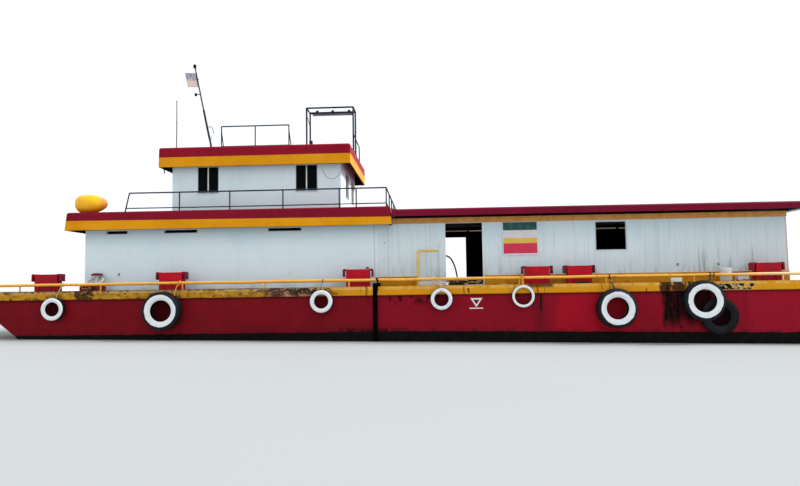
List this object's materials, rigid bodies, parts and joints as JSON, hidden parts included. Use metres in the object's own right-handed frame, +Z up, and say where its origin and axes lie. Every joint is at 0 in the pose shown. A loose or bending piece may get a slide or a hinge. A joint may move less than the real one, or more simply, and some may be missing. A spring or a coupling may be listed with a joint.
{
  "type": "river barge",
  "caption": "Flat-bottomed river barge in two coupled hull blocks, with a plate deckhouse, a cargo shed, a raised wheelhouse, tyre fenders and stern gear.",
  "frame": {"origin": "under the middle of the flat bottom, at the bottom centre of the whole vessel's box", "axes": "+X forward to the bow, +Y to port, +Z up"},
  "size_m": [29.52, 8.2812, 10.9266],
  "materials": {
    "hull_paint": "weathered maroon paint over steel plate, black below the boot-top line",
    "belt_paint": "chipped ochre yellow paint",
    "wall_paint": "pale blue-grey paint, dirty under the eaves",
    "roof_paint": "dark red paint over a yellow lower band",
    "bollard_paint": "worn bright red paint",
    "dark_steel": "dark weathered paint",
    "tyre_rubber": "old black rubber with a white painted ring",
    "hose_rubber": "matt black rubber",
    "bronze": "dull bronze casting",
    "sign_paint": "flat sheet with coloured bands",
    "white_plastic": "matt white shell",
    "yellow_plastic": "faded yellow shell",
    "flag_cloth": "faded thin cloth"
  },
  "bodies": {
    "barge": {"hull_aft": "hull_paint", "hull_fore": "hull_paint", "hull_spacer": "dark_steel", "belt_aft": "belt_paint", "belt_fore": "belt_paint", "deck_rail_starboard": "belt_paint", "deck_rail_port": "belt_paint", "house_wall_starboard": "wall_paint", "house_wall_port": "wall_paint", "house_wall_aft": "wall_paint", "house_bulkhead": "wall_paint", "shed_wall_starboard": "wall_paint", "shed_wall_port": "wall_paint", "shed_wall_fore": "wall_paint", "house_roof": "roof_paint", "shed_roof": "roof_paint", "wheelhouse_wall_starboard": "wall_paint", "wheelhouse_wall_port": "wall_paint", "wheelhouse_wall_fore": "wall_paint", "wheelhouse_wall_aft": "wall_paint", "wheelhouse_roof": "roof_paint", "roof_rail_starboard": "dark_steel", "roof_rail_port": "dark_steel", "roof_rail_fore": "dark_steel", "wheelhouse_rail_starboard": "dark_steel", "wheelhouse_rail_port": "dark_steel", "lamp_frame": "dark_steel", "mast": "dark_steel", "aerial": "dark_steel", "flag": "flag_cloth", "float": "yellow_plastic", "roof_ladder": "belt_paint", "bollards_starboard": "bollard_paint", "bollards_port": "bollard_paint", "tyre_1_starboard": "tyre_rubber", "tyre_2_starboard": "tyre_rubber", "tyre_3_starboard": "tyre_rubber", "tyre_4_starboard": "tyre_rubber", "tyre_5_starboard": "tyre_rubber", "tyre_6_starboard": "tyre_rubber", "tyre_7_starboard": "tyre_rubber", "tyre_8_starboard": "tyre_rubber", "tyre_2_port": "tyre_rubber", "tyre_6_port": "tyre_rubber", "tyre_7_port": "tyre_rubber", "tyre_8_port": "tyre_rubber", "sign": "sign_paint", "gangway_hoop": "belt_paint", "vent": "bollard_paint", "life_ring": "white_plastic", "hose": "hose_rubber", "cable": "hose_rubber"},
    "house_door": {"house_door": "wall_paint"},
    "wheelhouse_door": {"wheelhouse_door": "wall_paint"},
    "propeller_starboard": {"propeller_starboard": "bronze"},
    "propeller_port": {"propeller_port": "bronze"},
    "rudder_starboard": {"rudder_starboard": "dark_steel"},
    "rudder_port": {"rudder_port": "dark_steel"}
  },
  "joints": [
    {"name": "house_door_hinge", "type": "hinge", "parent": "barge", "child": "house_door", "pos_m": [-11.556, 2.08, 3.64], "axis": [0, 0, -1], "range_deg": [0, 120]},
    {"name": "wheelhouse_door_hinge", "type": "hinge", "parent": "barge", "child": "wheelhouse_door", "pos_m": [-8.876, 0.43, 6.03], "axis": [0, 0, -1], "range_deg": [0, 120]},
    {"name": "propeller_starboard_spin", "type": "hinge", "parent": "barge", "child": "propeller_starboard", "pos_m": [-13.25, -1.5, 0.56], "axis": [1, 0, 0], "continuous": true},
    {"name": "propeller_port_spin", "type": "hinge", "parent": "barge", "child": "propeller_port", "pos_m": [-13.25, 1.5, 0.56], "axis": [-1, 0, 0], "continuous": true},
    {"name": "rudder_starboard_turn", "type": "hinge", "parent": "barge", "child": "rudder_starboard", "pos_m": [-13.82, -1.5, 1], "axis": [0, 0, 1], "range_deg": [-35, 35]},
    {"name": "rudder_port_turn", "type": "hinge", "parent": "barge", "child": "rudder_port", "pos_m": [-13.82, 1.5, 1], "axis": [0, 0, 1], "range_deg": [-35, 35]}
  ],
  "couplings": [
    {"joint": "rudder_port_turn", "follows": "rudder_starboard_turn", "ratio": 1}
  ]
}
